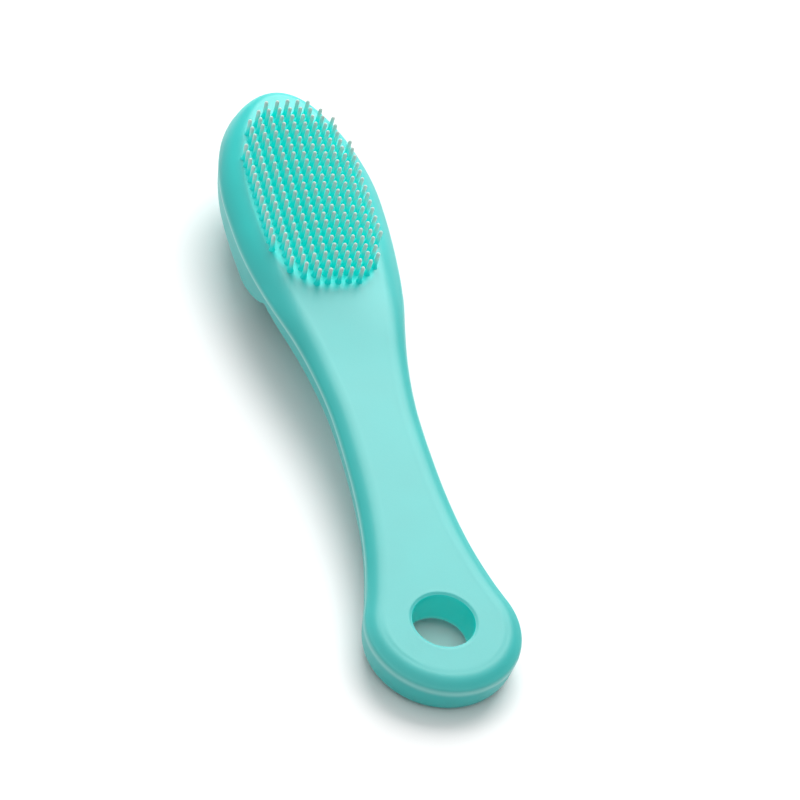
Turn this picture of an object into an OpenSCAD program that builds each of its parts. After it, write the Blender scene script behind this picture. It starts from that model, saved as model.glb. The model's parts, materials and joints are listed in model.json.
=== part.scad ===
// One-piece silicone finger brush with a domed finger pocket, a slim flexing neck and a hanging ring.
// It is drawn along +Y in its own plane first, with the hanging hole at y = 0 and the bristle side up,
// and then set down on z = 0 the way it lies on a table, on the hood's crest and the ring's lower rim.

/* [Outline] */
// Reach from the centre of the hanging hole to the tip of the head
tip_reach = 106.4; // [103:0.2:109]
// Half width of the head where it is widest
head_half_w = 12.4; // [11.6:0.1:13.2]
// Distance from the hole to the widest place of the head
head_at = 83; // [81:0.5:85]
// Half width of the shoulder, halfway from the neck to the widest place
shoulder_half_w = 9.4; // [8.6:0.1:9.8]
// Distance from the hole to that place of the shoulder
shoulder_at = 57; // [55:0.5:59]
// How fast the shoulder widens there, in mm of half width per mm
shoulder_slope = 0.25; // [0.18:0.01:0.3]
// Half width of the neck where it is slimmest
neck_half_w = 6.4; // [5.6:0.1:7]
// Distance from the hole to the slimmest place of the neck
neck_at = 35; // [32:0.5:37]
// Outer radius of the hanging ring
ring_r = 11; // [10:0.1:12]
// How far the ring's centre lies behind the centre of the hole
ring_offset = 0.5; // [0:0.1:1.2]

/* [Thickness] */
// Thickness of the handle, the neck and the finger rest
strap_t = 4.7; // [4.2:0.1:5.2]
// Thickness of the hanging ring
ring_t = 5.7; // [5.3:0.1:6.2]
// Depth of the pocket's floor below the bristle side, along the middle of the head
floor_t = 3.5; // [3.3:0.1:3.8]
// Width of the rounding along the edge of the strap, on the bristle side
edge_round = 2.4; // [1.6:0.1:2.8]
// Width of the rounding along the edge of the strap, on the pocket side
under_round = 1.3; // [0.8:0.1:1.8]
// Depth of the mould's parting line below the bristle side of the handle
parting_depth = 1.4; // [1.2:0.1:2]
// Radius of the crown across the bristle bed
crown_r = 29.6; // [26:0.2:40]
// How far the bristle bed stands above the face of the handle
bed_rise = 1.1; // [0:0.1:1.6]
// Width of the rounding along the head's edge, on the bristle side
head_round = 2.8; // [1.8:0.1:3.4]

/* [Finger pocket] */
// Depth of the hood's crest below the bristle side
hood_depth = 13.6; // [12.8:0.1:14.4]
// Distance from the hole to the hood's crest
crest_at = 74; // [73.5:0.5:77]
// How square the hood's cross section is, 2 for an ellipse
hood_square = 2.5; // [2.2:0.1:2.8]
// Wall of the hood at its crest
hood_wall = 2.1; // [1.8:0.1:2.4]
// Wall of the hood at its sides
side_wall = 2.5; // [2.2:0.1:3]
// Distance from the hole to the blind end of the pocket
pocket_end = 99; // [97:0.5:101]
// Distance from the hole to the corners of the pocket's mouth
mouth_at = 67.6; // [66.6:0.2:68.6]
// Lean of the mouth towards the tip, from upright
mouth_lean = 38; // [30:1:42]
// Thickness of the rounded lip round the mouth
lip_t = 2.2; // [1.6:0.1:2.6]

/* [Bristles] */
// Distance between the bristles, both ways
pitch = 1.64; // [1.6:0.02:1.7]
// Diameter of a bristle
bristle_d = 0.75; // [0.5:0.05:0.9]
// Height of a bristle above the bed
bristle_h = 3.1; // [2.6:0.1:3.6]
// Distance from the hole to the middle of the bristle field
field_at = 81; // [80.4:0.1:81.4]

/* [Hanging hole] */
// Diameter of the hole
hole_d = 8.8; // [8:0.1:9.4]
// Rounding of the hole's rim on the bristle side
rim_round = 0.5; // [0.3:0.1:1.2]
// Diameter of the shallow dish round the hole on the pocket side
dish_d = 15; // [12:0.5:16]
// Depth of that dish at the hole
dish_depth = 0.9; // [0.5:0.1:1.2]

/* [Resting attitude] */
// Angle at which the brush lies on a table
rest_tilt = 5.35; // [5:0.05:5.7]

/* [Hidden] */
row_count = 23;
row_names = [for (r = [1:row_count]) str("bristle_row_", r < 10 ? "0" : "", r)];

silicone = "#7fd8d0";
deep_silicone = "#2fb5ab";
bristle_silicone = "#b9d8d2";

// Where one region of the moulding ends and the next begins, from the hole's centre
ring_end = 12;
flex_length = 14;
flex_from = neck_at - flex_length / 2;
flex_to = neck_at + flex_length / 2;
head_from = 61;

// The outline is a circle at the ring, an ellipse at the tip, and three cubic stretches between them
ring_leaves = 3;
ring_leave_w = sqrt(ring_r * ring_r - (ring_leaves + ring_offset) * (ring_leaves + ring_offset));
ring_slope = -0.36;
tip_length = tip_reach - head_at;

// The lofts stop this far short of a rounded end, where the outline would close to a point
end_gap = 0.06;

// The parting line stays this far above the pocket's floor
side_step = 0.5;

// Points along a section: across half a face, and round the hood
face_steps = 7;
hood_steps = 20;

// How far a boolean's tool runs past the solid that it cuts
over = 1;
root_depth = 0.5;
widest_row = 5;

function ease(t) = t <= 0 ? 0 : t >= 1 ? 1 : t * t * (3 - 2 * t);
function cubic(t, h, w0, s0, w1, s1) =
    w0 * (1 - 3 * t * t + 2 * t * t * t) + s0 * h * (t - 2 * t * t + t * t * t)
    + w1 * (3 * t * t - 2 * t * t * t) + s1 * h * (t * t * t - t * t);
function stretch(y, y0, w0, s0, y1, w1, s1) = cubic((y - y0) / (y1 - y0), y1 - y0, w0, s0, w1, s1);
function half_w(y) =
    y < ring_leaves ? sqrt(max(ring_r * ring_r - (y + ring_offset) * (y + ring_offset), end_gap))
    : y < neck_at ? stretch(y, ring_leaves, ring_leave_w, ring_slope, neck_at, neck_half_w, 0)
    : y < shoulder_at ? stretch(y, neck_at, neck_half_w, 0, shoulder_at, shoulder_half_w, shoulder_slope)
    : y < head_at ? stretch(y, shoulder_at, shoulder_half_w, shoulder_slope, head_at, head_half_w, 0)
    : head_half_w * sqrt(max(1 - pow((y - head_at) / tip_length, 2), end_gap / tip_length));

// Heights: the bed's rise and its crown fade in over the shoulder, and the parting line drops to the pocket's floor
function crown(y) = ease((y - 50) / 16);
function top_z(x, y) = bed_rise * ease((y - 44) / 22) - crown(y) * x * x / (2 * crown_r);
function parting_z(y) = -parting_depth - (floor_t - side_step - parting_depth) * ease((y - 52) / 24);
function under_z(y) = -strap_t - (ring_t - strap_t) * ease((16 - y) / 10);

// Distance in from the outline, and how far up its rounding a point that far in has come, from 0 to 1
function slope(y) = (half_w(y + 0.1) - half_w(y - 0.1)) / 0.2;
function oval(x, y) = norm([x / head_half_w, (y - head_at) / tip_length]);
function oval_rise(x, y) = norm([x / pow(head_half_w, 2), (y - head_at) / pow(tip_length, 2)]) / oval(x, y);
function inset(x, y) =
    y < ring_leaves ? ring_r - norm([x, y + ring_offset])
    : y < head_at + over ? (half_w(y) - abs(x)) / norm([1, slope(y)])
    : (1 - oval(x, y)) / oval_rise(x, y);
function rounded(x, y, width) = sqrt(1 - pow(1 - min(max(inset(x, y) / width, 0), 1), 2));
function top_round(y) = edge_round + (head_round - edge_round) * ease((y - 44) / 22);

// Points across one face, from edge to edge, crowded together towards the edges
function across(y) = [for (i = [-face_steps:face_steps]) half_w(y) * sin(90 * i / face_steps)];
function face_z(x, y, z, width) = parting_z(y) + (z - parting_z(y)) * rounded(x, y, width);
function top_face(y) = [for (x = across(y)) [x, face_z(x, y, top_z(x, y), top_round(y))]];
function under_face(y) = let (xs = across(y))
    [for (i = [1:len(xs) - 2]) [-xs[i], face_z(xs[i], y, under_z(y), under_round)]];
function strap_section(y) = concat(top_face(y), under_face(y));
function plate_section(y) = concat(top_face(y), [[half_w(y), -floor_t], [-half_w(y), -floor_t]]);

// The hood hangs below the pocket's floor, deepest at its crest
hood_drop = hood_depth - floor_t;
function signed_pow(v, p) = sign(v) * pow(abs(v), p);
function dome(y) = y < crest_at ? 1 - pow((crest_at - y) / 24, 2)
    : pow(max(1 - pow((y - crest_at) / (tip_reach - crest_at), hood_square), end_gap / 2), 1 / hood_square);
function arch(w, top, drop) = concat([[-w, top], [w, top]],
    [for (i = [0:hood_steps]) let (a = 180 * i / hood_steps)
        [w * signed_pow(cos(a), 2 / hood_square), -floor_t - drop * signed_pow(sin(a), 2 / hood_square)]]);
function hood_section(y) = let (all = arch(half_w(y), -floor_t, hood_drop * dome(y)))
    [for (i = [2:len(all) - 1]) all[i]];
pocket_round = 12;
function closing(y) = sqrt(max(1 - pow(max(y - pocket_end + pocket_round, 0) / pocket_round, 2), end_gap));
function pocket_section(y) = arch((half_w(y) - side_wall) * closing(y), over - floor_t,
                                  (hood_drop * dome(y) - hood_wall) * closing(y));

// Stations crowd together towards a rounded end
function stations(from, to, count, round_start, round_end) = [for (i = [0:count])
    let (t = i / count,
         u = round_start ? 1 - cos(90 * t) : round_end ? sin(90 * t) : t)
    from + (to - from) * u];
strap_stations = concat(stations(end_gap - ring_r - ring_offset, ring_leaves, 12, true, false),
                        stations(ring_leaves + 3, head_from + over, 16, false, false));
plate_stations = concat(stations(head_from, head_at - 4, 4, false, false),
                        stations(head_at, tip_reach - end_gap, 12, false, true));
hood_stations = concat(stations(head_from + 3, crest_at - 4, 3, false, false),
                       stations(crest_at, tip_reach - end_gap, 13, false, true));
pocket_stations = concat(stations(head_from - 1, crest_at, 4, false, false),
                         stations(crest_at + 4, pocket_end - end_gap, 9, false, true));

// A closed skin through sections that all have the same number of points, listed clockwise from behind
function middle(points) = [for (k = [0:1]) (min([for (p = points) p[k]]) + max([for (p = points) p[k]])) / 2];
module loft(ys, sections) {
    n = len(sections[0]);
    last = len(ys) - 1;
    first_middle = middle(sections[0]);
    last_middle = middle(sections[last]);
    rings = [for (s = [0:last]) for (p = sections[s]) [p[0], ys[s], p[1]]];
    points = concat(rings, [[first_middle[0], ys[0], first_middle[1]]],
                    [[last_middle[0], ys[last], last_middle[1]]]);
    walls = [for (s = [0:last - 1]) for (i = [0:n - 1]) let (a = s * n + i, b = s * n + (i + 1) % n)
        for (face = [[a, a + n, b + n], [a, b + n, b]]) face];
    caps = [for (i = [0:n - 1]) let (j = (i + 1) % n)
        for (face = [[len(rings), i, j], [len(rings) + 1, last * n + j, last * n + i]]) face];
    polyhedron(points, concat(walls, caps));
}

module strap() {
    loft(strap_stations, [for (y = strap_stations) strap_section(y)]);
}

// A slab across the brush between two distances from the hole
module between(from, to) {
    translate([-head_half_w - over, from, -hood_depth - over])
        cube([2 * (head_half_w + over), to - from, hood_depth + bed_rise + 2 * over]);
}

// Space in front of a plane parallel to the pocket's mouth, set back from it by depth
module before_mouth(depth) {
    translate([0, mouth_at, -strap_t])
        rotate([mouth_lean, 0, 0])
            translate([-head_half_w - over, -4 * hood_depth + depth, -2 * hood_depth])
                cube([2 * (head_half_w + over), 4 * hood_depth, 3 * hood_depth]);
}

module hood_shell() {
    difference() {
        loft(hood_stations, [for (y = hood_stations) hood_section(y)]);
        loft(pocket_stations, [for (y = pocket_stations) pocket_section(y)]);
        before_mouth(0);
    }
}

// The drilled part of the hanging hole: a straight wall, a rounded rim above and a shallow dish below
module hole_cut() {
    hole_r = hole_d / 2;
    rotate_extrude($fn = 96)
        difference() {
            polygon([[0, over], [hole_r + rim_round, over], [hole_r + rim_round, 0],
                     [hole_r + rim_round, -rim_round], [hole_r, -rim_round],
                     [hole_r, dish_depth - ring_t], [dish_d / 2, -ring_t],
                     [dish_d / 2, -ring_t - over], [0, -ring_t - over]]);
            translate([hole_r + rim_round, -rim_round])
                circle(rim_round, $fn = 48);
        }
}

// From the brush's own plane to the way it lies on a table
tip_y = tip_reach * cos(rest_tilt) + floor_t * sin(rest_tilt);
back_y = -(ring_r + ring_offset) * cos(rest_tilt) + parting_depth * sin(rest_tilt);
lowest = min([for (y = hood_stations) y * sin(rest_tilt) - (floor_t + hood_drop * dome(y)) * cos(rest_tilt)]);
module rest() {
    translate([0, -(tip_y + back_y) / 2, -lowest])
        rotate([rest_tilt, 0, 0])
            children();
}

module hang_ring() {
    color(silicone)
        rest()
            difference() {
                intersection() {
                    strap();
                    between(-ring_r - ring_offset - over, ring_end);
                }
                hole_cut();
            }
}

module handle() {
    color(silicone)
        rest()
            intersection() {
                strap();
                between(ring_end, flex_from);
            }
}

module neck() {
    color(silicone)
        rest()
            intersection() {
                strap();
                between(flex_from, flex_to);
            }
}

// The strap between neck and head, dished where the finger lies before it enters the pocket
module finger_rest() {
    scoop_rise = strap_t - floor_t;
    scoop_half = 8;
    scoop_r = (scoop_half * scoop_half + scoop_rise * scoop_rise) / (2 * scoop_rise);
    color(silicone)
        rest()
            difference() {
                intersection() {
                    strap();
                    between(flex_to, head_from);
                }
                translate([0, head_from, -floor_t - scoop_r])
                    sphere(scoop_r, $fn = 96);
            }
}

module brush_head() {
    color(silicone)
        rest()
            loft(plate_stations, [for (y = plate_stations) plate_section(y)]);
}

module finger_hood() {
    color(deep_silicone)
        rest()
            difference() {
                hood_shell();
                before_mouth(lip_t);
            }
}

module mouth_lip() {
    color(silicone)
        rest()
            intersection() {
                hood_shell();
                before_mouth(lip_t);
            }
}

// Rows near the two ends of the oval field are shorter: a column's reach depends on how far out it is
function column_reach(column) = abs(column) < 3 ? 11 : abs(column) == 3 ? 10 : abs(column) == 4 ? 9 : 6;

module bristle() {
    tip_r = bristle_d / 2;
    rotate_extrude($fn = 24)
        intersection() {
            union() {
                translate([0, -root_depth])
                    square([tip_r, root_depth + bristle_h - tip_r]);
                translate([0, bristle_h - tip_r])
                    circle(tip_r, $fn = 24);
            }
            translate([0, -root_depth])
                square([tip_r, root_depth + bristle_h]);
        }
}

module bristle_row(number) {
    row = number - (row_count + 1) / 2;
    y = field_at + row * pitch;
    color(bristle_silicone)
        rest()
            for (column = [-widest_row:widest_row])
                if (abs(row) <= column_reach(column))
                    translate([column * pitch, y, top_z(column * pitch, y)])
                        bristle();
}

hang_ring();
handle();
neck();
finger_rest();
brush_head();
finger_hood();
mouth_lip();
for (number = [1:row_count])
    bristle_row(number);
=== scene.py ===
"""A one-piece silicone finger brush: one seamless moulded skin, with its bristles standing in rows."""

import json
import math
import random

import bmesh
import bpy
from mathutils import Matrix, Quaternion, Vector


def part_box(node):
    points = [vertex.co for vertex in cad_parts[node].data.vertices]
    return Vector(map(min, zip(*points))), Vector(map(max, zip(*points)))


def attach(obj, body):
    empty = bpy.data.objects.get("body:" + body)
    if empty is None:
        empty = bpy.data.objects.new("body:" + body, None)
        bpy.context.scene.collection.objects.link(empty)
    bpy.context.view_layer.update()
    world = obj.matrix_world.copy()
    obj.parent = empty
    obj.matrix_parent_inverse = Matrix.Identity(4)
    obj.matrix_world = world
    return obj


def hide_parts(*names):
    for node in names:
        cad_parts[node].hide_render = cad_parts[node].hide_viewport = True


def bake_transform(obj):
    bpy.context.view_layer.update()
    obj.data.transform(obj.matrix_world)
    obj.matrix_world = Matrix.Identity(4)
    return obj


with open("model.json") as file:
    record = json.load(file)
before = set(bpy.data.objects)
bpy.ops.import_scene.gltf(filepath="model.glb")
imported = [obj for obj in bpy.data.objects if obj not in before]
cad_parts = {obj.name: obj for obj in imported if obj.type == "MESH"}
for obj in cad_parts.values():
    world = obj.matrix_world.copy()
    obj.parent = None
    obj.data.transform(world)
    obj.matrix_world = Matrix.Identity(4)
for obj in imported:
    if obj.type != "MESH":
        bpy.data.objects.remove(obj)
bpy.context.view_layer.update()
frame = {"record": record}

bl_info = {
    "name": "Silicone Finger Brush",
    "version": (1, 0, 0),
    "blender": (4, 5, 0),
    "location": "View3D > Sidebar > Finger Brush",
    "description": "Models a one-piece silicone finger brush round its packed frame",
    "category": "Add Mesh",
}

MM = 0.001


# ---------------------------------------------------------------- the brush's own plane, from the frame

def hanging_hole():
    """The hanging hole's mount in the packed record."""
    return next(m for m in frame["record"]["mounts"] if m["name"] == "hang_hole")


def rest_matrix(rim_round):
    """From the brush's own plane, with the hole's centre at the origin, to the way it lies on a table."""
    hole = hanging_hole()
    axis = Vector(hole["axis"])
    tilt = math.atan2(-axis.y, axis.z)
    rise = hole["dims"]["length_mm"] * MM / 2 + rim_round
    return Matrix.Translation(Vector(hole["pos_m"]) + axis * rise) @ Matrix.Rotation(tilt, 4, "X")


def node_half_width(node):
    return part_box(node)[1].x


def length(name, description, millimetres):
    """A size that a user may change, shown in the scene's own length unit."""
    return bpy.props.FloatProperty(
        name=name, description=description, default=millimetres * MM, unit="LENGTH", precision=5
    )


def from_frame(name, description, metres):
    return bpy.props.FloatProperty(
        name=name, description=description, default=metres, unit="LENGTH", precision=5
    )


def angle(name, description, degrees):
    return bpy.props.FloatProperty(
        name=name, description=description, default=math.radians(degrees), subtype="ANGLE"
    )


def colour(name, description, hex_value):
    return bpy.props.FloatVectorProperty(
        name=name, description=description, default=linear(hex_value), subtype="COLOR", size=4, min=0, max=1
    )


def linear(hex_value):
    """An sRGB hex colour, turned to the linear values that shaders use."""
    channels = [int(hex_value[i : i + 2], 16) / 255 for i in (1, 3, 5)]
    return [c / 12.92 if c <= 0.04045 else ((c + 0.055) / 1.055) ** 2.4 for c in channels] + [1.0]


class SkinSizes(bpy.types.PropertyGroup):
    """Sizes of the moulded skin, measured in the brush's own plane from the centre of the hanging hole."""

    tip_reach: length("Tip reach", "Reach from the hanging hole to the tip of the head", 106.4)
    head_half_w: from_frame("Head half width", "Half width of the head", node_half_width("brush_head"))
    head_at: length("Head at", "Distance from the hole to the widest place of the head", 83)
    shoulder_half_w: length("Shoulder half width", "Half width halfway up the shoulder", 9.3)
    shoulder_at: length("Shoulder at", "Distance from the hole to that place of the shoulder", 57)
    neck_half_w: length("Neck half width", "Half width of the neck where it is slimmest", 6.3)
    neck_at: length("Neck at", "Distance from the hole to the slimmest place", 35)
    ring_r: from_frame("Ring radius", "Outer radius of the hanging ring", node_half_width("hang_ring"))
    ring_back: length("Ring offset", "How far the ring's centre lies behind the hole", 0.5)
    strap_t: length("Strap thickness", "Thickness of the handle and the neck", 4.7)
    ring_t: length("Ring thickness", "Thickness of the hanging ring", 5.7)
    floor_t: length("Floor depth", "Depth of the pocket's floor below the bristle side", 3.5)
    parting: length("Parting depth", "Depth of the mould's parting line on the handle", 1.4)
    edge_round: length("Edge rounding", "Width of the rounding along the strap's bristle side", 2.5)
    under_round: length("Under rounding", "Width of the rounding along its pocket side", 1.3)
    head_round: length("Head rounding", "Width of that rounding on the head's bristle side", 2.9)
    bed_rise: length("Bed rise", "How far the bristle bed stands above the face of the handle", 1.1)
    crown_r: length("Crown radius", "Radius of the crown across the bristle bed", 29.6)
    hood_depth: length("Hood depth", "Depth of the hood's crest below the bristle side", 13.6)
    crest_at: length("Crest at", "Distance from the hole to the hood's crest", 74)
    hood_wall: length("Hood wall", "Wall of the hood at its crest", 2.1)
    side_wall: length("Side wall", "Wall of the hood at its sides", 2.2)
    pocket_end: length("Pocket end", "Distance from the hole to the pocket's blind end", 99)
    mouth_at: length("Mouth at", "Distance from the hole to the corners of the pocket's mouth", 67.6)
    mouth_lean: angle("Mouth lean", "Lean of the mouth towards the tip", 38)
    hole_r: from_frame("Hole radius", "Radius of the hanging hole", hanging_hole()["dims"]["r_mm"] * MM)
    rim_round: length("Rim rounding", "Rounding of the hole's rim on the bristle side", 0.5)
    dish_r: length("Dish radius", "Radius of the dish round the hole on the pocket side", 7.5)
    dish_depth: length("Dish depth", "Depth of that dish at the hole", 0.5)
    bead: length("Bead", "How far the parting line's bead stands out", 0.2)
    groove: length("Groove", "Depth of the faint groove round the ring's face", 0.035)
    groove_r: length("Groove radius", "Radius of that groove, from the middle of the hole", 8.9)


class BristleSizes(bpy.types.PropertyGroup):
    """Sizes of the bristle field."""

    pitch: length("Pitch", "Distance between the bristles, both ways", 1.64)
    tip_d: length("Tip diameter", "Diameter of a bristle just below its rounded tip", 0.64)
    foot_d: length("Foot diameter", "Diameter of a bristle above its root", 0.76)
    height: length("Height", "Height of a bristle above the bed", 3.1)
    field_at: length("Field at", "Distance from the hole to the middle of the field", 81)
    lean: angle("Lean", "The most that a bristle leans out of true", 1.6)


class SiliconeColours(bpy.types.PropertyGroup):
    """Colours of the silicone, with a painted glow and a painted highlight among them."""

    skin: colour("Skin", "The moulded skin's pigment", "#2CB6B2")
    # Painted glow: the bed colour stands in for light bounced between the bristles, brighter and more
    # saturated than the skin's pigment.
    bed: colour("Bed", "The light-soaked bed between the bristles", "#00F0E8")
    # Painted highlight: the bead's pale colour stands in for the light that the parting line's bead catches.
    edge: colour("Bead", "The thin pale bead of the parting line", "#9CD8D4")
    tip: colour("Bristle tip", "A bristle's pale tip", "#C8D8D2")
    # Painted glow: the bristle's foot takes the bed's painted glow colour, not the skin's pigment.
    foot: colour("Bristle foot", "A bristle's foot, where the skin's colour shows", "#00F0E8")


class StageSizes(bpy.types.PropertyGroup):
    """The camera, the light and the floor."""

    aim: bpy.props.FloatVectorProperty(
        name="Aim", description="The point that the camera looks at",
        default=(0.00421, -0.00718, 0.00998), unit="LENGTH",
    )
    distance: length("Distance", "Distance from the camera to that point", 442)
    azimuth: angle("Azimuth", "The camera's bearing, 0 along +Y", -24.4)
    elevation: angle("Elevation", "The camera's height above the horizon", 41.5)
    roll: angle("Roll", "How far the camera is turned about its own axis", 13.35)
    lens: bpy.props.FloatProperty(name="Lens", description="Focal length on a 36 mm sensor", default=136.7)
    floor: colour("Floor", "The pale table", "#FBFBFB")


# ---------------------------------------------------------------- the outline and its heights

def ease(t):
    t = min(max(t, 0), 1)
    return t * t * (3 - 2 * t)


def stretch(y, start, end):
    """A cubic from one (place, half width, slope) to the next."""
    (y0, w0, s0), (y1, w1, s1) = start, end
    h = y1 - y0
    t = (y - y0) / h
    return (w0 * (1 - 3 * t * t + 2 * t**3) + s0 * h * (t - 2 * t * t + t**3)
            + w1 * (3 * t * t - 2 * t**3) + s1 * h * (t**3 - t * t))


class Form:
    """The brush's shape as formulas, in the brush's own plane."""

    RING_LEAVES = 3 * MM
    RING_SLOPE = -0.36
    SHOULDER_SLOPE = 0.25
    HOOD_SQUARE = 2.5
    HOOD_RUN = 24 * MM
    POCKET_ROUND = 12 * MM
    SIDE_STEP = 0.5 * MM
    RISE_FROM, RISE_RUN = 44 * MM, 22 * MM
    CROWN_FROM, CROWN_RUN = 50 * MM, 16 * MM
    SIDE_FROM, SIDE_RUN = 52 * MM, 24 * MM
    RING_END, RING_RUN = 16 * MM, 10 * MM
    SCOOP_AT, SCOOP_HALF_W, SCOOP_RUN = 67 * MM, 9 * MM, 15 * MM
    STRAP_MARGIN, HEAD_MARGIN = 3.1, 0.8

    def __init__(self, sizes):
        self.s = sizes
        s = sizes
        leave = self.RING_LEAVES
        self.knots = [
            (leave, math.sqrt(s.ring_r**2 - (leave + s.ring_back) ** 2), self.RING_SLOPE),
            (s.neck_at, s.neck_half_w, 0),
            (s.shoulder_at, s.shoulder_half_w, self.SHOULDER_SLOPE),
            (s.head_at, s.head_half_w, 0),
        ]
        self.tip_length = s.tip_reach - s.head_at
        self.drop = s.hood_depth - s.floor_t

    def half_w(self, y):
        s = self.s
        if y < self.knots[0][0]:
            return math.sqrt(max(s.ring_r**2 - (y + s.ring_back) ** 2, 0))
        for start, end in zip(self.knots, self.knots[1:]):
            if y < end[0]:
                return stretch(y, start, end)
        return s.head_half_w * math.sqrt(max(1 - ((y - s.head_at) / self.tip_length) ** 2, 0))

    def gap(self, x, y):
        """Distance in from the outline."""
        s = self.s
        if y < self.RING_LEAVES:
            return s.ring_r - math.hypot(x, y + s.ring_back)
        if y < s.head_at + MM:
            step = 0.1 * MM
            slope = (self.half_w(y + step) - self.half_w(y - step)) / (2 * step)
            return (self.half_w(y) - abs(x)) / math.hypot(1, slope)
        across, along = x / s.head_half_w, (y - s.head_at) / self.tip_length
        reach = math.hypot(across, along)
        rise = math.hypot(across / s.head_half_w, along / self.tip_length) / reach
        return (1 - reach) / rise

    def outward(self, x, y):
        """The way straight out of the outline."""
        step = 0.2 * MM
        across = self.gap(x - step, y) - self.gap(x + step, y)
        along = self.gap(x, y - step) - self.gap(x, y + step)
        return Vector((across, along)).normalized()

    def at_gap(self, x, y, gap):
        """The nearest place that lies that far in from the outline."""
        place = Vector((x, y))
        for _ in range(4):
            place += self.outward(*place) * (self.gap(*place) - gap)
        return place

    def headward(self, y):
        """0 on the handle, 1 on the head, and a soft change over the shoulder."""
        return ease((y - self.RISE_FROM) / self.RISE_RUN)

    def margin(self, y):
        """How far in from the outline the flat faces end."""
        return (self.STRAP_MARGIN + self.HEAD_MARGIN * self.headward(y)) * MM

    def top_z(self, x, y):
        crown = ease((y - self.CROWN_FROM) / self.CROWN_RUN) * x * x / (2 * self.s.crown_r)
        return self.s.bed_rise * self.headward(y) - crown

    def top_round(self, y):
        return self.s.edge_round + (self.s.head_round - self.s.edge_round) * self.headward(y)

    def under_round(self, y):
        return self.s.under_round

    def parting_z(self, y):
        s = self.s
        drop = s.floor_t - self.SIDE_STEP - s.parting
        return -s.parting - drop * ease((y - self.SIDE_FROM) / self.SIDE_RUN)

    def under_z(self, x, y):
        """The pocket side: thicker at the ring, dished round the hole and scooped before the mouth."""
        s = self.s
        z = -s.strap_t - (s.ring_t - s.strap_t) * ease((self.RING_END - y) / self.RING_RUN)
        dish = ease((s.dish_r - math.hypot(x, y)) / (s.dish_r - s.hole_r))
        off = math.hypot(x / self.SCOOP_HALF_W, min(y - self.SCOOP_AT, 0) / self.SCOOP_RUN)
        scoop = ease(1.5 - 1.5 * off)
        return z + s.dish_depth * dish + (s.strap_t - s.floor_t) * scoop

    def dome(self, y):
        s = self.s
        if y < s.crest_at:
            return 1 - ((s.crest_at - y) / self.HOOD_RUN) ** 2
        reach = min((y - s.crest_at) / (s.tip_reach - s.crest_at), 1)
        return (1 - reach**self.HOOD_SQUARE) ** (1 / self.HOOD_SQUARE)

    def in_hood(self, x, y, z):
        """Whether a point lies inside the hood's outer surface."""
        w, depth = self.half_w(y), self.drop * self.dome(y)
        if y >= self.s.tip_reach or w <= 0 or depth <= 0:
            return False
        n = self.HOOD_SQUARE
        return (abs(x) / w) ** n + (max(-self.s.floor_t - z, 0) / depth) ** n < 1

    def on_hood(self, y, bearing, dip):
        """The hood's outer surface, seen from a point on its middle line: bearing is across, dip is down."""
        s = self.s
        start = Vector((0, y, -s.floor_t))
        way = Vector((
            s.head_half_w * math.sin(bearing) * math.cos(dip),
            self.tip_length * math.cos(bearing) * math.cos(dip),
            -self.drop * math.sin(dip),
        ))
        near, far = 0.0, 2.0
        for _ in range(30):
            middle = (near + far) / 2
            if self.in_hood(*(start + way * middle)):
                near = middle
            else:
                far = middle
        return start + way * near

    def mouth_y(self, z):
        """Where the mouth's slanted plane stands at a height."""
        s = self.s
        return s.mouth_at + (-s.strap_t - z) * math.tan(s.mouth_lean)

    def closing(self, y):
        """How far the pocket still is open, from 1 down to 0 at its blind end."""
        reach = max(y - self.s.pocket_end + self.POCKET_ROUND, 0) / self.POCKET_ROUND
        return math.sqrt(max(1 - reach * reach, 0.01))

    def inside(self, point):
        """The pocket's inner wall, straight in from a point of the outer surface."""
        s = self.s
        depth = self.drop * self.dome(point.y)
        closing = self.closing(point.y)
        across = (1 - s.side_wall / self.half_w(point.y)) * closing
        down = (1 - s.hood_wall / depth) * closing
        return Vector((point.x * across, point.y, -s.floor_t + (point.z + s.floor_t) * down))

    def arch(self, bearing, dip, inside=False):
        """A point round the mouth's arch, on the mouth's own slanted plane."""
        s = self.s
        y = s.mouth_at
        for _ in range(8):
            point = self.on_hood(y, bearing, dip)
            if inside:
                point = self.inside(point)
            y = self.mouth_y(point.z)
        return point


# ---------------------------------------------------------------- modelling by hand, in edit mode

LAYERS = ("column", "row", "rim", "level")
ROW_COUNT = 23
WIDEST_ROW = 5


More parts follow.
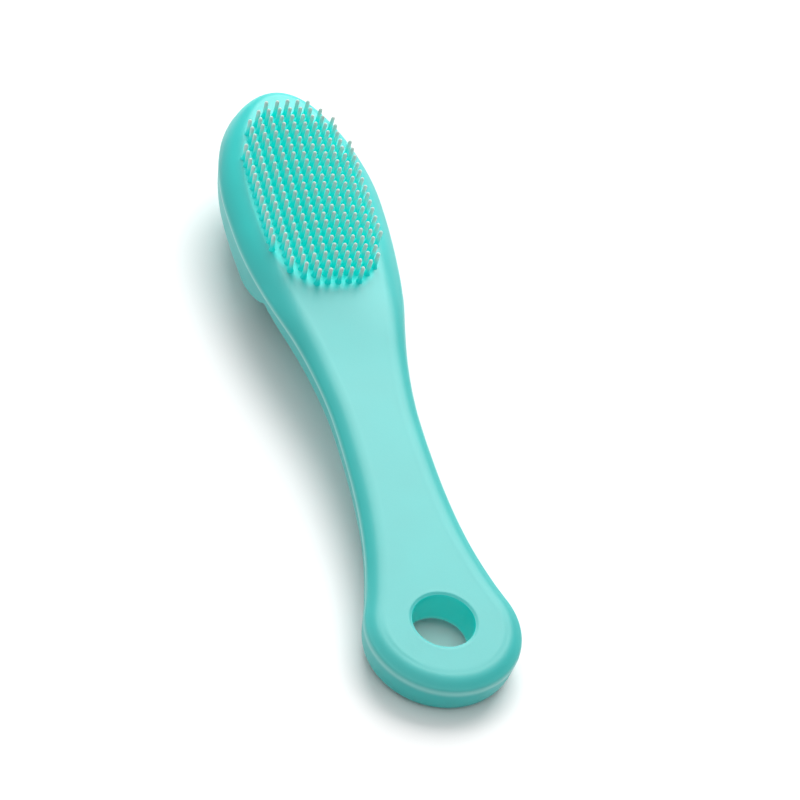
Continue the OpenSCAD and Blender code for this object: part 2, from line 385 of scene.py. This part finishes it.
class Plan:
    """Where each point of the first flat sheet lies, by its column from -4 to 4 and its row from the ring."""

    HALF = 4
    RING_MIDDLE = 4
    RING_TOP = 8
    MOUTH = 21
    WIDEST = 25
    TIP = 31
    HOLE_RING = 2
    CORNER_DIP = 22
    FOOT = 4.3 * MM
    FOOT_ROWS = 4
    BULGE = 2.4 * MM
    TOP_SQUARE = 1.75
    UNDER_SQUARE = 2.6

    def __init__(self, form):
        self.form = form
        self.corner = self.ring_edge(math.radians(45))

    def ring_edge(self, turn):
        """Where the ring's flat face ends, turned from +Y towards +X."""
        near, far = 0.0, 14 * MM
        for _ in range(30):
            r = (near + far) / 2
            if self.form.gap(r * math.sin(turn), r * math.cos(turn)) > self.form.margin(0):
                near = r
            else:
                far = r
        return Vector((near * math.sin(turn), near * math.cos(turn)))

    def in_ring(self, column, row):
        """The ring's points lie on squares round the hole, which are drawn out to circles."""
        up = row - self.RING_MIDDLE
        square = max(abs(column), abs(up), 1)
        if up == square:
            side, t = 0, column / square
        elif column == square:
            side, t = 1, -up / square
        elif up == -square:
            side, t = 2, -column / square
        else:
            side, t = 3, up / square
        turn = math.radians(90 * side + 45 * t)
        hole = self.form.s.hole_r + self.form.s.rim_round + 0.5 * MM
        inner = Vector((hole * math.sin(turn), hole * math.cos(turn)))
        outer = self.strap_line(t, self.corner.y) if side == 0 else self.ring_edge(turn)
        return inner.lerp(outer, (square - self.HOLE_RING) / (self.HALF - self.HOLE_RING))

    def strap_line(self, t, y, bulge=BULGE):
        """A row across the strap, arched forward in its middle."""
        return Vector((t * (self.form.half_w(y) - self.form.margin(y)), y + bulge * (1 - t * t)))

    def disc(self, column, row):
        """A point of the head's end on the unit disc: across, and along from where the head is widest."""
        u = column / self.HALF
        v = max(row - self.WIDEST, 0) / (self.TIP - self.WIDEST)
        return u * math.sqrt(1 - v * v / 2), v * math.sqrt(1 - u * u / 2)

    def row_y(self, row):
        s = self.form.s
        if row <= self.MOUTH:
            share = (row - self.RING_TOP) / (self.MOUTH - self.RING_TOP)
            return self.corner.y + (s.mouth_at - self.corner.y) * share
        return s.mouth_at + (s.head_at - s.mouth_at) * (row - self.MOUTH) / (self.WIDEST - self.MOUTH)

    def spot(self, column, row):
        s = self.form.s
        if row <= self.RING_TOP:
            place = self.in_ring(column, row)
        elif row <= self.WIDEST:
            fade = max(1 - (row - self.RING_TOP) / 4, 0)
            foot = self.FOOT * max(1 - abs(row - self.MOUTH) / self.FOOT_ROWS, 0)
            place = self.strap_line(column / self.HALF, self.row_y(row) - foot, self.BULGE * fade + foot)
        else:
            across, along = self.disc(column, row)
            margin = self.form.margin(s.head_at)
            place = Vector((
                (s.head_half_w - margin) * across,
                s.head_at + (self.form.tip_length - margin) * along,
            ))
        if abs(column) == self.HALF or row in (0, self.TIP):
            place = self.form.at_gap(*place, self.form.margin(place.y))
        return place


def edit(mesh):
    """The mesh in edit mode, with its layers by name."""
    shape = bmesh.from_edit_mesh(mesh)
    return shape, {name: shape.verts.layers.int[name] for name in LAYERS}


def place_chosen(mesh, rule, level=None):
    """Moves each chosen point to where the rule says, from its place, column, row, rim and level."""
    shape, layers = edit(mesh)
    for point in shape.verts:
        if point.select:
            point.co = rule(point.co.copy(), *(point[layers[name]] for name in LAYERS))
            if level is not None:
                point[layers["level"]] = level
    bmesh.update_edit_mesh(mesh)


def choose(mesh, kind, test):
    """Chooses the faces or edges whose points all pass the test of column, row, rim and level."""
    bpy.ops.mesh.select_all(action="DESELECT")
    bpy.ops.mesh.select_mode(type="FACE" if kind == "faces" else "EDGE")
    shape, layers = edit(mesh)
    for item in getattr(shape, kind):
        item.select = test(item, [[point[layers[name]] for name in LAYERS] for point in item.verts])
    shape.select_flush_mode()
    bmesh.update_edit_mesh(mesh)


def new_sheet(name, columns, rows):
    """A flat grid in edit mode, whose points know their column and row."""
    bpy.ops.object.select_all(action="DESELECT")
    bpy.ops.mesh.primitive_grid_add(x_subdivisions=columns, y_subdivisions=rows, size=2)
    sheet = bpy.context.object
    sheet.name = sheet.data.name = name
    for layer in LAYERS:
        sheet.data.attributes.new(layer, "INT", "POINT")
    bpy.ops.object.mode_set(mode="EDIT")
    shape, layers = edit(sheet.data)
    for point in shape.verts:
        point[layers["column"]] = round(point.co.x * columns / 2)
        point[layers["row"]] = round((point.co.y + 1) * rows / 2)
        point[layers["level"]] = -1
    bmesh.update_edit_mesh(sheet.data)
    return sheet


def face_round(form, place, rim, face_z, square, width):
    """A point of the rounding from a face to the parting line, at its rim 1 to 4."""
    turn = math.radians(30 * (rim - 1))
    across, down = math.sin(turn) ** (2 / square), max(math.cos(turn), 0) ** (2 / square)
    spot = form.at_gap(*place, width(place.y) * (1 - across))
    line = form.parting_z(spot.y)
    return Vector((*spot, line + (face_z(*spot) - line) * down))


def bristle_side(sheet, form, plan):
    """The bristle side: the sheet takes the outline, its edge reaches the parting line, its hole is cut."""
    mesh = sheet.data

    def lay(place, column, row, rim, level):
        spot = plan.spot(column, row)
        return Vector((*spot, form.top_z(*spot)))

    bpy.ops.mesh.select_all(action="SELECT")
    place_chosen(mesh, lay)

    def in_hole(item, points):
        return all(
            abs(column) <= plan.HOLE_RING and abs(row - plan.RING_MIDDLE) <= plan.HOLE_RING
            for column, row, _, _ in points
        )

    choose(mesh, "faces", in_hole)
    bpy.ops.mesh.delete(type="FACE")

    def outer_edge(item, points):
        return item.is_boundary and not in_hole(item, points)

    choose(mesh, "edges", outer_edge)
    for rim in (1, 2, 3, 4):
        bpy.ops.mesh.extrude_edges_move()
        set_chosen(mesh, "rim", rim)
        place_chosen(mesh, lambda place, *_: face_round(
            form, place.xy, rim, form.top_z, plan.TOP_SQUARE, form.top_round
        ))

    def hole_edge(item, points):
        return item.is_boundary and in_hole(item, points)

    choose(mesh, "edges", hole_edge)
    r, round_r = form.s.hole_r, form.s.rim_round
    middle = -round_r - hanging_hole()["dims"]["length_mm"] * MM / 2
    soft = round_r * (1 - math.sqrt(0.5))
    for rim, (out, z) in enumerate(((round_r, 0), (soft, -soft), (0, -round_r), (0, middle))):
        bpy.ops.mesh.extrude_edges_move()
        set_chosen(mesh, "rim", -1 - rim)
        place_chosen(mesh, lambda place, *_: Vector((*(place.xy.normalized() * (r + out)), z)))


def set_chosen(mesh, name, value):
    shape, layers = edit(mesh)
    for point in shape.verts:
        if point.select:
            point[layers[name]] = value
    bmesh.update_edit_mesh(mesh)


def pocket_side(sheet, form, plan):
    """The pocket side: a turned copy of the bristle side, sewn to it at the parting line and in the hole."""
    mesh = sheet.data
    s = form.s
    foot = -s.ring_t + s.dish_depth

    def lay(place, column, row, rim, level):
        if rim in (4, -4):
            return place
        if rim == 0:
            wide = form.half_w(place.y)
            narrow = (3.1 - 0.9 * form.headward(place.y)) * MM
            if place.y > form.RISE_FROM:
                place.x *= (wide - narrow) / (wide - form.margin(place.y))
            return Vector((*place.xy, form.under_z(*place.xy)))
        if rim > 0:
            return face_round(form, place.xy, rim, form.under_z, plan.UNDER_SQUARE, form.under_round)
        out, z = {-1: (0.7 * MM, None), -2: (0.06 * MM, foot), -3: (0, foot + 0.35 * MM)}[rim]
        spot = place.xy.normalized() * (s.hole_r + out)
        return Vector((*spot, form.under_z(*spot) if z is None else z))

    bpy.ops.mesh.select_all(action="SELECT")
    bpy.ops.mesh.duplicate()
    bpy.ops.mesh.flip_normals()
    place_chosen(mesh, lay, level=0)
    bpy.ops.mesh.select_all(action="SELECT")
    bpy.ops.mesh.remove_doubles(threshold=0.005 * MM)


def draw_hood(sheet, form, plan):
    """The hood: the head's underside is drawn down to the lip's inner edge, its nose and the outer dome."""
    mesh = sheet.data
    s = form.s
    rim_dips = (49, 41, 33, 25, 18)
    flank_dips = {1: 6, 2: 12}
    inner_back = 0.4 * MM
    nose_out, nose_share = 0.8 * MM, 0.55

    def outer_back(dip):
        """How far the lip's outer edge stands back from the mouth's plane, less at its feet."""
        return (1.1 + 2.1 * math.sin(dip) ** 2) * MM - plan.FOOT * bump(dip, 0.3)

    def bearing_of(column, row):
        if row <= plan.WIDEST:
            return math.copysign(math.pi / 2, column)
        across, along = plan.disc(column, row)
        return math.atan2(across, along)

    def outer(column, row, dip):
        dip = math.radians(dip)
        bearing = bearing_of(column, row)
        if row > plan.WIDEST:
            return form.on_hood(s.head_at, bearing, dip)
        share = (row - plan.MOUTH) / (plan.WIDEST - plan.MOUTH)
        front = form.arch(bearing, dip).y + outer_back(dip)
        return form.on_hood(front + (s.head_at - front) * share, bearing, dip)

    def lip(place, column, row, rim, level):
        flank = outer(column, row, flank_dips[level + 1])
        if row > plan.MOUTH or rim == 4:
            return flank
        side = math.copysign(math.pi / 2, column)
        dip = math.radians(90 - abs(column) / plan.HALF * (90 - plan.CORNER_DIP))
        inner = form.arch(side, dip, inside=True)
        if level == 0:
            inner.y += inner_back
        else:
            inner = inner.lerp(form.arch(side, dip), nose_share)
        share = rim / 4
        return inner.lerp(flank, share) - Vector((0, 4 * share * (1 - share) * nose_out, 0))

    def dome(place, column, row, rim, level):
        reach = min(math.hypot(*plan.disc(column, row)), 1)
        return outer(column, row, rim_dips[rim] if rim else 90 - reach * (90 - rim_dips[0]))

    choose(mesh, "faces", lambda face, points: all(
        row >= plan.MOUTH and (level == 0 or rim == 4) for _, row, rim, level in points
    ))
    set_chosen(mesh, "level", 0)
    for level, rule in ((1, lip), (2, lip), (3, dome)):
        bpy.ops.mesh.extrude_region_move()
        place_chosen(mesh, rule, level=level)


def push_pocket(sheet, form, plan):
    """The finger pocket: the mouth's face is pushed in, ring by ring, to the pocket's blind end."""
    mesh = sheet.data
    s = form.s

    def is_mouth(face, points):
        return (all(row == plan.MOUTH and rim == 0 and level in (0, 1) for _, row, rim, level in points)
                and {level for *_, level in points} == {0, 1})

    choose(mesh, "faces", is_mouth)
    shares = (0.07, 0.2, 0.4, 0.6, 0.78, 0.92, 0.985)
    for share in shares:
        def rule(place, column, row, rim, level):
            side = math.copysign(math.pi / 2, column)
            if level == 0:
                y = s.mouth_at + (s.pocket_end - s.mouth_at) * share
                half = (form.half_w(y) - s.side_wall) * form.closing(y)
                return Vector((half * column / plan.HALF, y, -s.floor_t))
            dip = math.radians(90 - abs(column) / plan.HALF * (90 - plan.CORNER_DIP))
            front = form.arch(side, dip, inside=True)
            y = front.y + (s.pocket_end - front.y) * share
            return form.inside(form.on_hood(y, side, dip))

        bpy.ops.mesh.extrude_region_move()
        place_chosen(mesh, rule)


def fit_smooth(piece, levels, rounds=2):
    """Smooths the skin so that it passes through its own points, and applies the smoothing."""
    aim = [point.co.copy() for point in piece.data.vertices]
    smooth = piece.modifiers.new("smooth", "SUBSURF")
    smooth.levels = smooth.render_levels = 1
    for _ in range(rounds):
        seen = piece.evaluated_get(bpy.context.evaluated_depsgraph_get())
        slips = [goal - seen.data.vertices[i].co for i, goal in enumerate(aim)]
        for point, slip in zip(piece.data.vertices, slips):
            point.co += slip
        piece.data.update()
    smooth.levels = smooth.render_levels = levels
    bpy.ops.object.modifier_apply(modifier=smooth.name)


def bump(distance, width):
    """A soft ridge: 1 on its line, and almost nothing two widths away."""
    return math.exp(-(distance / width) ** 2)


def field_painted_glow(x, y, sizes):
    """The bed's painted glow, standing in for light bounced between the bristles: 1 in the oval bristle
    field, less on the head round it, 0 on the handle.
    """
    across = abs(x) / ((WIDEST_ROW + 0.5) * sizes.pitch)
    along = abs(y - sizes.field_at) / ((ROW_COUNT / 2 + 0.05) * sizes.pitch)
    inside = ease((1.16 - across**2.5 - along**2.5) / 0.26)
    return max(inside, 0.3 * ease((y - 62 * MM) / (16 * MM)))


# How the painted glow fades out towards the parting line, and how strongly the hole's wall is painted with
# it, standing in for light bounced inside the hole.
BED_GLOW_FADE = 2.6 * MM
HOLE_PAINTED_GLOW = 0.75


def work_details(piece, form, fields):
    """Bead, groove, the hole's flash and the grip marks, with the painted highlight on the bead and on the
    hole's lower edge, and the painted glow on the bed and the hole's wall.
    """
    s = form.s
    foot = -s.ring_t + s.dish_depth
    # edge holds the painted highlight and bed the painted glow, both read by the skin's material.
    edge = piece.data.attributes.new("edge", "FLOAT", "POINT")
    bed = piece.data.attributes.new("bed", "FLOAT", "POINT")
    for point in piece.data.vertices:
        x, y, z = point.co
        gap = form.gap(x, y)
        off_line = z - form.parting_z(y)
        if gap < 1.2 * MM and abs(off_line) < MM:
            ringward = ease((14 * MM - y) / (10 * MM))
            # The bead is broader and lower round the ring.
            ridge = bump(off_line, (0.22 + 0.24 * ringward) * MM) * (1 - 0.45 * ringward)
            point.co += Vector((*(form.outward(x, y) * s.bead * ridge), 0))
            # Painted highlight along the bead.
            edge.data[point.index].value = ridge
        out = math.hypot(x, y)
        # Painted glow: the bed and the hole's wall are painted brighter and more saturated, standing in for
        # light bounced between the bristles and inside the hole.
        deep = field_painted_glow(x, y, fields) * ease(off_line / BED_GLOW_FADE)
        in_hole = HOLE_PAINTED_GLOW * ease((s.hole_r + 0.15 * MM - out) / (0.15 * MM))
        bed.data[point.index].value = max(deep, in_hole)
        if out < 12 * MM and off_line > 0.2 * MM:
            point.co.z -= s.groove * bump(out - s.groove_r, 0.4 * MM) * ease((3 * MM - y) / (8 * MM))
        if out < s.hole_r + 0.3 * MM:
            # The hole's lower edge is thin, and gets a painted highlight as the bead does.
            edge.data[point.index].value = 0.7 * bump(z - foot, 0.25 * MM)
        if out < s.hole_r + MM and z < foot + 0.3 * MM:
            point.co.z -= 0.14 * MM * bump(out - s.hole_r - 0.05 * MM, 0.2 * MM)
        if z < -s.hood_depth / 2:
            point.co.z += grip_marks(x, y)


GRIP_MARKS = ((0, 94 * MM, 3.3 * MM), (-5 * MM, 97.3 * MM, 2.2 * MM), (5 * MM, 97.3 * MM, 2.2 * MM))


def grip_marks(x, y):
    """How deep the three crescent grip marks near the hood's tip are at a place."""
    depth, half_width, bow = 0.34 * MM, 0.82 * MM, 45
    mark = 0
    for mark_x, mark_y, half_length in GRIP_MARKS:
        along = (x - mark_x) / half_length
        across = (y - mark_y + bow * (x - mark_x) ** 2) / half_width
        mark = max(mark, depth * max(1 - along * along, 0) * math.exp(-across * across))
    return mark


def set_down(piece, form):
    """Lays the finished piece down from its own plane, with its place in its mesh."""
    piece.matrix_world = rest_matrix(form.s.rim_round)
    bpy.ops.object.select_all(action="DESELECT")
    piece.select_set(True)
    bpy.context.view_layer.objects.active = piece
    bpy.ops.object.transform_apply(location=True, rotation=True, scale=True)


# ---------------------------------------------------------------- operators

FLEX_REACH = 7 * MM


class BRUSH_OT_skin(bpy.types.Operator):
    """Models the brush's one-piece moulded skin, with its pocket and its hanging hole"""

    bl_idname = "brush.make_skin"
    bl_label = "Moulded skin"

    def execute(self, context):
        form = Form(context.scene.brush_skin)
        plan = Plan(form)
        skin = new_sheet("moulded_skin", 2 * plan.HALF, plan.TIP)
        bristle_side(skin, form, plan)
        pocket_side(skin, form, plan)
        draw_hood(skin, form, plan)
        push_pocket(skin, form, plan)
        bpy.ops.mesh.select_all(action="SELECT")
        bpy.ops.mesh.normals_make_consistent(inside=False)
        bpy.ops.object.mode_set(mode="OBJECT")
        fit_smooth(skin, 3)
        for name in LAYERS:
            skin.data.attributes.remove(skin.data.attributes[name])
        work_details(skin, form, context.scene.brush_bristles)
        bpy.ops.object.shade_smooth()
        set_down(skin, form)
        skin.data.materials.append(silicone_skin(context.scene.brush_colours))
        flex_end(form, FLEX_REACH)
        flex_end(form, -FLEX_REACH)
        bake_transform(skin)
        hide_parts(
            "hang_ring", "handle", "neck", "finger_rest", "brush_head", "finger_hood", "mouth_lip"
        )
        return {"FINISHED"}


class BRUSH_OT_bristles(bpy.types.Operator):
    """Models one bristle and stands its copies in rows on the bed"""

    bl_idname = "brush.make_bristles"
    bl_label = "Bristle rows"

    def execute(self, context):
        form = Form(context.scene.brush_skin)
        sizes = context.scene.brush_bristles
        finish = silicone_bristle(context.scene.brush_colours)
        pattern = one_bristle(sizes)
        draw = random.Random(7)
        middle = (ROW_COUNT + 1) / 2
        for row in range(1, ROW_COUNT + 1):
            y = sizes.field_at + (row - middle) * sizes.pitch
            stands = [
                standing(form, column * sizes.pitch, y, sizes.lean, draw)
                for column in range(-WIDEST_ROW, WIDEST_ROW + 1)
                if abs(row - middle) <= column_reach(column)
            ]
            piece = copies(pattern, f"bristles_{row:02d}", stands)
            set_down(piece, form)
            piece.data.materials.append(finish)
            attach(piece, "head")
            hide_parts(f"bristle_row_{row:02d}")
        bpy.data.objects.remove(pattern)
        return {"FINISHED"}


def column_reach(column):
    """How many rows a column runs to each side of the middle of the oval field."""
    return {3: 10, 4: 9, 5: 6}.get(abs(column), 11)


def one_bristle(sizes):
    """One bristle, standing on z = 0: a fillet at its foot, a slight taper and a rounded tip."""
    tip_r, foot_r, high = sizes.tip_d / 2, sizes.foot_d / 2, sizes.height
    width, z = foot_r * 1.75, -0.25 * MM
    bpy.ops.object.select_all(action="DESELECT")
    bpy.ops.mesh.primitive_circle_add(vertices=8, radius=width, location=(0, 0, z), fill_type="NGON")
    piece = bpy.context.object
    bpy.ops.object.transform_apply(location=True)
    bpy.ops.object.mode_set(mode="EDIT")
    bpy.ops.mesh.select_all(action="SELECT")
    rings = [(foot_r * 1.35, 0.05 * MM), (foot_r, 0.36 * MM), (tip_r, high - tip_r),
             (tip_r * 0.8, high - tip_r * 0.42), (tip_r * 0.36, high)]
    for r, up in rings:
        bpy.ops.mesh.extrude_region_move(TRANSFORM_OT_translate={"value": (0, 0, up - z)})
        bpy.ops.transform.resize(value=(r / width, r / width, 1))
        width, z = r, up
    bpy.ops.mesh.select_all(action="SELECT")
    bpy.ops.mesh.normals_make_consistent(inside=False)
    bpy.ops.object.mode_set(mode="OBJECT")
    bpy.ops.object.shade_smooth()
    height = piece.data.attributes.new("height", "FLOAT", "POINT")
    for point in piece.data.vertices:
        height.data[point.index].value = max(point.co.z / high, 0)
    return piece


TURN_TO_BED = 0.25


def standing(form, x, y, lean, draw):
    """Where a bristle stands: leaning a little with the bed's slope, and a little out of true."""
    step = 0.5 * MM
    slope = (form.top_z(x + step, y) - form.top_z(x - step, y)) / (2 * step)
    turn = draw.uniform(0, math.tau)
    tip = Vector((math.cos(turn), math.sin(turn), 0))
    off = Quaternion(tip, lean * math.sqrt(draw.random()))
    square = Vector((0, 0, 1)).rotation_difference(Vector((-slope * TURN_TO_BED, 0, 1)))
    tall = Matrix.Diagonal((1, 1, draw.uniform(0.975, 1.015), 1))
    return Matrix.Translation((x, y, form.top_z(x, y))) @ (square @ off).to_matrix().to_4x4() @ tall


def copies(pattern, name, stands):
    """Copies of one pattern, each put in its place, joined as one piece."""
    made = []
    for stand in stands:
        copy = pattern.copy()
        copy.data = pattern.data.copy()
        copy.data.transform(stand)
        bpy.context.collection.objects.link(copy)
        made.append(copy)
    bpy.ops.object.select_all(action="DESELECT")
    for copy in made:
        copy.select_set(True)
    bpy.context.view_layer.objects.active = made[0]
    bpy.ops.object.join()
    made[0].name = made[0].data.name = name
    return made[0]


def flex_end(form, offset):
    """A point of the strap's middle layer, that far from the middle of the neck."""
    return rest_matrix(form.s.rim_round) @ Vector((0, form.s.neck_at + offset, -form.s.strap_t / 2))


# ---------------------------------------------------------------- materials

def add_node(tree, kind, settings=None, links=None):
    """Adds a node with its settings, and links its inputs from other nodes' outputs."""
    node = tree.nodes.new(kind)
    for name, value in (settings or {}).items():
        if name in node.inputs:
            node.inputs[name].default_value = value
        else:
            setattr(node, name, value)
    for name, source in (links or {}).items():
        tree.links.new(source, node.inputs[name])
    return node


def new_material(name):
    material = bpy.data.materials.new(name)
    material.use_nodes = True
    material.node_tree.nodes.clear()
    return material, material.node_tree


def attribute(tree, name):
    return add_node(tree, "ShaderNodeAttribute", {"attribute_name": name}).outputs["Fac"]


def mix(tree, factor, first, second):
    """Mixes two colours, of which the first may be another node's output."""
    node = add_node(tree, "ShaderNodeMix", {"data_type": "RGBA"})
    sockets = {s.identifier: s for s in node.inputs}
    tree.links.new(factor, sockets["Factor_Float"])
    for identifier, value in (("A_Color", first), ("B_Color", second)):
        if isinstance(value, bpy.types.NodeSocket):
            tree.links.new(value, sockets[identifier])
        else:
            sockets[identifier].default_value = list(value)
    return next(s for s in node.outputs if s.identifier == "Result_Color")


def silicone_skin(colours):
    """Moulded liquid silicone rubber: a satin, faintly cloudy surface that light soaks into, with a painted
    glow on the bed and a painted highlight on the bead.
    """
    material, tree = new_material("moulded_silicone")
    place = add_node(tree, "ShaderNodeTexCoord").outputs["Object"]
    # Mould grain: the blasted steel leaves a peel of about 0.25 mm, drawn a little coarser so that it shows.
    grain = add_node(
        tree, "ShaderNodeTexNoise", {"Scale": 2600.0, "Detail": 3.0, "Roughness": 0.6}, {"Vector": place}
    )
    peel = add_node(
        tree, "ShaderNodeBump", {"Strength": 0.12, "Distance": 0.05 * MM}, {"Height": grain.outputs["Fac"]}
    )
    # Cloud: the pigment is mixed in unevenly, in patches about a centimetre wide.
    cloud = add_node(tree, "ShaderNodeTexNoise", {"Scale": 90.0, "Detail": 2.0}, {"Vector": place})
    shade = add_node(
        tree, "ShaderNodeMapRange", {"From Min": 0.3, "From Max": 0.7, "To Min": 0.96, "To Max": 1.02},
        {"Value": cloud.outputs["Fac"]},
    )
    # Painted glow: between the bristles the light goes from wall to wall and comes out deep and saturated,
    # and the bed attribute paints that light into the base colour.
    pigment = mix(tree, attribute(tree, "bed"), colours.skin, colours.bed)
    # Painted highlight: the bead is painted paler, standing in for the light that the thin bead catches and
    # scatters.
    pigment = mix(tree, attribute(tree, "edge"), pigment, colours.edge)
    tint = add_node(
        tree, "ShaderNodeHueSaturation", links={"Color": pigment, "Value": shade.outputs["Result"]}
    )
    shader = add_node(
        tree, "ShaderNodeBsdfPrincipled",
        {"Roughness": 0.42, "IOR": 1.41, "Specular IOR Level": 1.0, "Subsurface Weight": 0.3,
         "Subsurface Radius": (0.25, 1.0, 0.95), "Subsurface Scale": 1.2 * MM},
        {"Base Color": tint.outputs["Color"], "Normal": peel.outputs["Normal"]},
    )
    add_node(tree, "ShaderNodeOutputMaterial", links={"Surface": shader.outputs["BSDF"]})
    return material


def silicone_bristle(colours):
    """The same silicone drawn out thin: nearly clear at the tip, and painted at the foot with the bed's
    painted glow.
    """
    material, tree = new_material("bristle_silicone")
    fade = add_node(
        tree, "ShaderNodeMapRange", {"interpolation_type": "SMOOTHSTEP", "From Min": 0.15, "From Max": 1.0},
        {"Value": attribute(tree, "height")},
    )
    shader = add_node(
        tree, "ShaderNodeBsdfPrincipled",
        {"Roughness": 0.5, "IOR": 1.41, "Subsurface Weight": 0.3, "Subsurface Radius": (0.6, 1.0, 0.95),
         "Subsurface Scale": 0.6 * MM},
        {"Base Color": mix(tree, fade.outputs["Result"], colours.foot, colours.tip)},
    )
    add_node(tree, "ShaderNodeOutputMaterial", links={"Surface": shader.outputs["BSDF"]})
    return material


def table_top(floor):
    """A sheet of matt white board."""
    material, tree = new_material("matt_board")
    place = add_node(tree, "ShaderNodeTexCoord").outputs["Object"]
    fleck = add_node(tree, "ShaderNodeTexNoise", {"Scale": 600.0}, {"Vector": place})
    tooth = add_node(
        tree, "ShaderNodeBump", {"Strength": 0.02, "Distance": 0.1 * MM}, {"Height": fleck.outputs["Fac"]}
    )
    shader = add_node(
        tree, "ShaderNodeBsdfPrincipled", {"Base Color": list(floor), "Roughness": 0.8},
        {"Normal": tooth.outputs["Normal"]},
    )
    add_node(tree, "ShaderNodeOutputMaterial", links={"Surface": shader.outputs["BSDF"]})
    return material


# ---------------------------------------------------------------- stage

class BRUSH_OT_stage(bpy.types.Operator):
    """Lays the pale floor, hangs the soft lights and stands the camera"""

    bl_idname = "brush.make_stage"
    bl_label = "Stage"

    def execute(self, context):
        sizes = context.scene.brush_stage
        context.scene.view_settings.view_transform = "Standard"
        lay_floor(sizes)
        hang_lights()
        fill_room()
        stand_camera(sizes)
        return {"FINISHED"}


def lay_floor(sizes):
    """A wide board under the brush."""
    bpy.ops.object.select_all(action="DESELECT")
    bpy.ops.mesh.primitive_plane_add(size=4)
    floor = bpy.context.object
    floor.name = "floor"
    floor.data.materials.append(table_top(sizes.floor))


LIGHTS = (
    ("key_light", (0.33, 0.67, 0.76), 0.95, 13.4),
    ("overhead_light", (-0.15, 0.0, 1.1), 1.6, 4.0),
)


def hang_lights():
    """A wide soft light behind and to the right, and a wider, weaker one overhead."""
    for name, place, size, power in LIGHTS:
        bpy.ops.object.light_add(type="AREA", location=place)
        light = bpy.context.object
        light.name = name
        light.data.size = size
        light.data.energy = power
        light.rotation_euler = (-Vector(place)).to_track_quat("-Z", "Y").to_euler()


def fill_room():
    """An even white room all round."""
    world = bpy.data.worlds.new("pale_room")
    bpy.context.scene.world = world
    world.use_nodes = True
    background = world.node_tree.nodes["Background"]
    background.inputs["Color"].default_value = linear("#FFFFFF")
    background.inputs["Strength"].default_value = 0.41


def stand_camera(sizes):
    """The camera looks at its aim from a bearing and a height, turned about its own axis."""
    back = Vector((
        math.sin(sizes.azimuth) * math.cos(sizes.elevation),
        -math.cos(sizes.azimuth) * math.cos(sizes.elevation),
        math.sin(sizes.elevation),
    ))
    bpy.ops.object.camera_add()
    camera = bpy.context.object
    camera.location = Vector(sizes.aim) + back * sizes.distance
    camera.rotation_mode = "QUATERNION"
    camera.rotation_quaternion = (-back).to_track_quat("-Z", "Y") @ Quaternion((0, 0, 1), sizes.roll)
    camera.data.lens = sizes.lens
    camera.data.sensor_width = 36
    camera.data.clip_start, camera.data.clip_end = 0.01, 20
    bpy.context.scene.camera = camera


# ---------------------------------------------------------------- add-on

GROUPS = {
    "brush_skin": SkinSizes,
    "brush_bristles": BristleSizes,
    "brush_colours": SiliconeColours,
    "brush_stage": StageSizes,
}
OPERATORS = (BRUSH_OT_stage, BRUSH_OT_skin, BRUSH_OT_bristles)


class BRUSH_PT_panel(bpy.types.Panel):
    """The finger brush's operators and sizes"""

    bl_idname = "BRUSH_PT_panel"
    bl_label = "Finger Brush"
    bl_space_type = "VIEW_3D"
    bl_region_type = "UI"
    bl_category = "Finger Brush"

    def draw(self, context):
        for operator in OPERATORS:
            self.layout.operator(operator.bl_idname)
        for name, group in GROUPS.items():
            box = self.layout.box()
            box.label(text=group.__doc__)
            for size in group.__annotations__:
                box.prop(getattr(context.scene, name), size)


def register():
    for group in GROUPS.values():
        bpy.utils.register_class(group)
    for name, group in GROUPS.items():
        setattr(bpy.types.Scene, name, bpy.props.PointerProperty(type=group))
    for operator in OPERATORS:
        bpy.utils.register_class(operator)
    bpy.utils.register_class(BRUSH_PT_panel)


def unregister():
    bpy.utils.unregister_class(BRUSH_PT_panel)
    for operator in reversed(OPERATORS):
        bpy.utils.unregister_class(operator)
    for name in GROUPS:
        delattr(bpy.types.Scene, name)
    for group in reversed(list(GROUPS.values())):
        bpy.utils.unregister_class(group)


def main():
    register()
    bpy.ops.brush.make_stage()
    bpy.ops.brush.make_skin()
    bpy.ops.brush.make_bristles()


if __name__ == "__main__":
    main()
